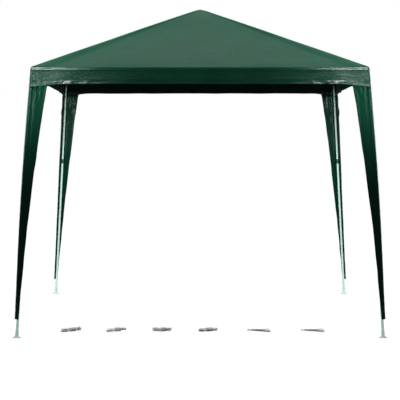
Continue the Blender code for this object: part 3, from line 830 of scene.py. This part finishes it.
def cord_mesh(name, points, radius, closed=False, sides=8):
    """A round cord along a path."""
    path = np.asarray(points, float)
    if closed:
        ahead, behind = np.roll(path, -1, axis=0), np.roll(path, 1, axis=0)
    else:
        ahead = np.concatenate([path[1:], path[-1:] * 2 - path[-2:-1]])
        behind = np.concatenate([path[:1] * 2 - path[1:2], path[:-1]])
    tangent = ahead - behind
    tangent /= np.linalg.norm(tangent, axis=1, keepdims=True)
    across = np.cross(tangent[0], (0.3, 0.2, 0.9))  # a direction that no cord starts along
    across /= np.linalg.norm(across)
    angles = np.linspace(0, 2 * math.pi, sides, endpoint=False)[:, None]
    rings = []
    for point, direction in zip(path, tangent):
        across = across - direction * (across @ direction)
        across /= np.linalg.norm(across)
        other = np.cross(direction, across)
        rings.append(point + radius * (np.cos(angles) * across + np.sin(angles) * other))
    if closed:
        rings.append(rings[0])
    mesh = grid_mesh(name, np.array(rings), closed_columns=True)
    bm = bmesh.new()
    bm.from_mesh(mesh)
    if closed:
        bmesh.ops.remove_doubles(bm, verts=bm.verts, dist=radius * 0.35)
    bmesh.ops.holes_fill(bm, edges=bm.edges, sides=sides)
    bmesh.ops.recalc_face_normals(bm, faces=bm.faces)
    bm.to_mesh(mesh)
    bm.free()
    mesh.shade_smooth()
    return mesh


def hank_coil(seed):
    """Long loops of one cord, wide at both ends and drawn together at a waist."""
    turns = np.arange(HANK_LOOPS * LOOP_STEPS) / LOOP_STEPS
    angle = 2 * math.pi * turns
    reach = HANK_LENGTH / 2 - 0.004 - 0.010 * (0.5 + 0.5 * noise_1d(turns / 1.3, seed))
    x = np.cos(angle) * reach
    wide = 0.034 * bump(x, -0.052, 0.036) + 0.022 * bump(x, 0.060, 0.028) + 0.0035
    spread = 0.72 + 0.30 * noise_1d(turns / 0.9 + 40, seed + 1)
    y = np.sin(angle) * wide * spread + 0.0030 * noise_1d(turns * 2.0, seed + 2)
    squeezed = 1 - 0.45 * bump(x, 0.012, 0.03)
    level = WAIST_Z + 0.0125 * noise_1d(turns / 0.8 + 9, seed + 3) * squeezed
    phase = np.random.default_rng(seed).uniform(0, 6)
    level += 0.0035 * np.sin(angle + phase)
    return np.stack([x, y, np.clip(level, CORD_RADIUS, HANK_TOP_Z)], axis=-1)


def hank_wrap(seed):
    """The cord's end, wound round the waist: down along it, and back over the first layer."""
    angle = np.linspace(0, 2 * math.pi * WRAPS, WRAPS * WRAP_STEPS)
    run = angle / angle[-1]
    x = WRAP_START + WRAP_RUN * np.abs(2.0 * run - 1.0) + 0.0012 * noise_1d(angle / 3, seed + 6)
    layer = np.where(run < 0.5, *WRAP_RADII) + 0.0008 * noise_1d(angle, seed + 5)
    return np.stack([x, layer * np.cos(angle), WAIST_Z + layer * np.sin(angle)], axis=-1)


def build_hanks(cord):
    for index in range(1, HANK_COUNT + 1):
        low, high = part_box(f"rope_hank_{index}")
        middle = (low + high) / 2
        seed = HANK_SEED + SEED_PER_HANK * index
        place = Matrix.Translation((middle.x, middle.y, 0.0)) @ Matrix.Rotation(HANK_TURN, 4, "Z")
        for part_name, path in (("coil", hank_coil(seed)), ("wrap", hank_wrap(seed))):
            mesh = cord_mesh(f"rope_{part_name}_{index}", path, CORD_RADIUS)
            mesh.transform(place)
            piece = add_piece(f"rope_{part_name}_{index}", mesh, cord)
        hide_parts(f"rope_hank_{index}")


# ---------------------------------------------------------------- ties

TIE_DROP = 0.024  # from the valance's hem down to the tie
TIE_RADIUS = 0.0020
TIE_OUT = COVER_STANDOFF + 0.0030  # from the leg's axis to the tie
TIE_SQUARENESS = 4.0  # 2 would be a circle
KNOT_RADIUS = 0.0024
KNOT_OUT = TIE_OUT + 0.002
KNOT_HALF = 0.0046
KNOT_DEPTH = 0.0030


def tie_ring():
    """A loop with rounded corners, close round a leg and its cover."""
    angles = np.linspace(0, 2 * math.pi, 40, endpoint=False)
    cosine, sine = np.cos(angles), np.sin(angles)
    power = TIE_SQUARENESS
    reach = TIE_OUT / (np.abs(cosine) ** power + np.abs(sine) ** power) ** (1 / power)
    return np.stack([reach * cosine, reach * sine, 0.002 * np.sin(3 * angles)], axis=-1)


def tie_knot(faces_x):
    """An overhand knot on the outside of the tie, on the face towards X or towards Y."""
    turn = np.linspace(0, 2 * math.pi, 60)
    wide = KNOT_HALF * (np.sin(turn) + 1.3 * np.sin(2 * turn))
    high = KNOT_HALF * (np.cos(turn) - 1.3 * np.cos(2 * turn))
    out = KNOT_OUT + KNOT_DEPTH * np.sin(3 * turn)
    return np.stack([out, wide, high] if faces_x else [wide, out, high], axis=-1)


def build_ties(cord):
    """An elastic tie round each leg and cover just under the valance, knotted at the front or back."""
    height = HEM_Z - TIE_DROP
    middle = np.array([leg_axis_at(height), leg_axis_at(height), height])
    for name, quarter in CORNERS:
        faces_x = quarter % 2 == 1
        tie = cord_mesh(f"cover_tie_{name}", middle + tie_ring(), TIE_RADIUS, closed=True)
        knot = cord_mesh(f"cover_tie_knot_{name}", middle + tie_knot(faces_x), KNOT_RADIUS)
        for mesh in (tie, knot):
            mesh.transform(quarter_turn(quarter))
            piece = add_piece(mesh.name, mesh, cord)


# ---------------------------------------------------------------- studio

STAGE_REACH = 24.0
STAGE_BEND = 8.0
STAGE_HEIGHT = 40.0
STAGE_STEPS = 96
BEND_STEPS = 16
STAGE_DROP = 0.0005  # keeps the floor clear of the undersides of the feet

CAMERA_PLACE = (0.0, -11.16, 1.501)
CAMERA_LENS = 120.9
CAMERA_SHIFT = -0.1694


def build_stage():
    """A round white floor that curves up into a wall on all sides, far outside every camera."""
    floor = bpy.data.objects.new("studio_floor", bpy.data.meshes.new("studio_floor"))
    profile = []
    for turn in np.linspace(0, math.pi / 2, BEND_STEPS + 1):
        profile.append((STAGE_REACH + STAGE_BEND * math.sin(turn), STAGE_BEND * (1.0 - math.cos(turn))))
    profile.append((STAGE_REACH + STAGE_BEND, STAGE_HEIGHT))
    angles = [2 * math.pi * number / STAGE_STEPS for number in range(STAGE_STEPS)]
    bm = bmesh.new()
    rings = [[bm.verts.new((r * math.cos(a), r * math.sin(a), z)) for a in angles] for r, z in profile]
    bm.faces.new(rings[0])
    for near, far in zip(rings, rings[1:]):
        for number in range(STAGE_STEPS):
            after = (number + 1) % STAGE_STEPS
            bm.faces.new((near[number], far[number], far[after], near[after]))
    bm.to_mesh(floor.data)
    bm.free()
    floor.data.shade_smooth()
    floor.data.materials.append(stage_material())
    bpy.context.scene.collection.objects.link(floor)
    floor.location.z = -STAGE_DROP
    floor.visible_diffuse = False
    floor.visible_glossy = False


def add_lamp(name, light, place, target):
    """Puts a light at a place, aimed at a target, out of the camera's sight."""
    lamp = bpy.data.objects.new(name, light)
    bpy.context.scene.collection.objects.link(lamp)
    lamp.visible_camera = False
    lamp.location = place
    lamp.rotation_euler = (Vector(target) - Vector(place)).to_track_quat("-Z", "Y").to_euler()
    return lamp


def area_light(name, place, target, power, size, size_y=None):
    light = bpy.data.lights.new(name, "AREA")
    light.energy = power
    light.size = size
    if size_y:
        light.shape = "RECTANGLE"
        light.size_y = size_y
    return add_lamp(name, light, place, target)


def spot_light(name, place, target, power, degrees, radius):
    light = bpy.data.lights.new(name, "SPOT")
    light.energy = power
    light.spot_size = math.radians(degrees)
    light.spot_blend = 1.0
    light.shadow_soft_size = radius
    return add_lamp(name, light, place, target)


def only_for(lamp, names):
    """The lamp lights the named pieces and nothing else."""
    chosen = bpy.data.collections.new(f"{lamp.name}_receivers")
    for name in names:
        chosen.objects.link(bpy.data.objects[name])
    lamp.light_linking.receiver_collection = chosen


def build_world():
    world = bpy.data.worlds.new("studio")
    bpy.context.scene.world = world
    world.use_nodes = True
    background = world.node_tree.nodes["Background"]
    background.inputs["Color"].default_value = (1.0, 1.0, 1.0, 1.0)
    background.inputs["Strength"].default_value = 0.04


def build_side_lights(side, name):
    """Two softboxes, a soft gradient on the front, and highlights for the valance and the covers."""
    over = ((side * 2.4, -0.5, 6.3), (side * 2.4, -0.5, 0.0))
    soft = area_light(f"{name}_top_softbox", *over, 165.0, 2.5, 3.2)
    soft.visible_glossy = False
    area_light(f"{name}_softbox", (side * 7.0, 1.5, 2.6), (0.0, 1.0, 1.2), 230.0, 3.0)
    for kind, place, target, power, degrees, radius in (
        ("fill", (side * 1.0, -5.5, 2.6), (0.0, -1.25, 2.75), 100.0, 50, 0.5),
        ("corner_spot", (side * 2.6, -3.6, 2.4), (side * 1.62, -1.25, 2.15), 330.0, 40, 0.25),
    ):
        soft = spot_light(f"{name}_{kind}", place, target, power, degrees, radius)
        soft.visible_glossy = False
    valance = ["canopy_valance"]
    front = [f"leg_cover_sheet_front_{name}", f"cover_stitches_front_{name}"]
    rear = [f"leg_cover_sheet_rear_{name}", f"cover_stitches_rear_{name}"]
    for kind, place, target, power, degrees, radius, receivers in (
        ("sheen", (1.95, -4.4, 2.85), (1.45, -1.25, 2.10), 70.0, 34, 0.3, valance + ["canopy_stitches"]),
        ("eave_shine", (1.45, -3.05, 3.8), (1.3, -1.25, 1.95), 400.0, 25, 0.12, valance),
        ("front_cover_shine", (3.6, -3.8, 2.3), (1.27, -1.27, 1.93), 70.0, 16, 0.12, front),
        ("rear_cover_shine", (-1.0, -4.0, 1.5), (1.27, 1.27, 1.66), 220.0, 9, 0.10, rear),
    ):
        place = (side * place[0], *place[1:])
        target = (side * target[0], *target[1:])
        shine = spot_light(f"{name}_{kind}", place, target, power, degrees, radius)
        shine.visible_diffuse = False
        only_for(shine, receivers)


def build_lights():
    build_world()
    area_light("high_back_softbox", (0.0, 8.0, 9.0), (0.0, 0.0, 2.2), 58.0, 9.0, 4.5)
    soft = area_light("back_softbox", (0.0, 9.0, 3.5), (0.0, 0.0, 1.2), 400.0, 6.0, 3.0)
    soft.visible_glossy = False
    build_side_lights(-1, "left")
    build_side_lights(1, "right")
    parts = ("lower_leg", "upper_leg", "leg_lock", "foot", "lock_button")
    poles = [f"{part}_{name}" for part in parts for name, _ in CORNERS]
    rear_poles = [name for name in poles if "rear" in name]
    kit = [piece.name for piece in bpy.data.objects if piece.name.startswith(("rope_", "ground_peg"))]
    low = area_light("low_panel", (0.0, -14.0, 4.0), (0.0, 0.0, 0.5), 1150.0, 4.0, 2.0)
    only_for(low, poles)
    deep = area_light("rear_pole_panel", (0.0, -14.0, 2.0), (0.0, 1.0, 0.5), 1900.0, 4.0, 2.0)
    only_for(deep, rear_poles)
    over = area_light("kit_panel", (0.0, -3.2, 5.0), (0.0, -1.0, 0.0), 170.0, 2.0)
    only_for(over, kit)


def build_camera():
    """A long lens at standing height, level and shifted down, as the photo was taken."""
    camera_data = bpy.data.cameras.new("camera")
    camera = bpy.data.objects.new("camera", camera_data)
    bpy.context.scene.collection.objects.link(camera)
    camera.location = CAMERA_PLACE
    camera.rotation_euler = (math.pi / 2, 0.0, 0.0)
    camera_data.sensor_width = 36.0
    camera_data.lens = CAMERA_LENS
    camera_data.shift_y = CAMERA_SHIFT
    camera_data.clip_end = 100.0
    bpy.context.scene.camera = camera
    bpy.context.scene.view_settings.view_transform = "Standard"


# ---------------------------------------------------------------- the whole


def dress_frame():
    """The CAD pieces that stay as they are get their finished materials."""
    finishes = {
        "powder_coat": powder_coat_material(),
        "plastic": plastic_material("dark_green_plastic", (0.012, 0.055, 0.038), 0.45),
        "button": plastic_material("black_plastic", (0.012, 0.012, 0.012), 0.42),
        "galvanised": galvanised_material(),
    }
    slots = {part["node"]: part["material_slot"] for part in frame["record"]["subparts"]}
    for name, node in frame["nodes"].items():
        if slots[name] in finishes:
            node.data.materials.clear()
            node.data.materials.append(finishes[slots[name]])


def main():
    fabric = fabric_material()
    thread = thread_material()
    dress_frame()
    build_canopy(fabric, thread)
    build_covers(fabric, thread)
    # each cord's second colour is the painted shade in the grooves of its braid
    build_hanks(cord_material("white_braided_cord", (0.86, 0.86, 0.86), (0.60, 0.61, 0.62)))
    build_ties(cord_material("black_elastic_cord", (0.012, 0.014, 0.013), (0.004, 0.004, 0.004)))
    build_stage()
    build_lights()
    build_camera()


main()
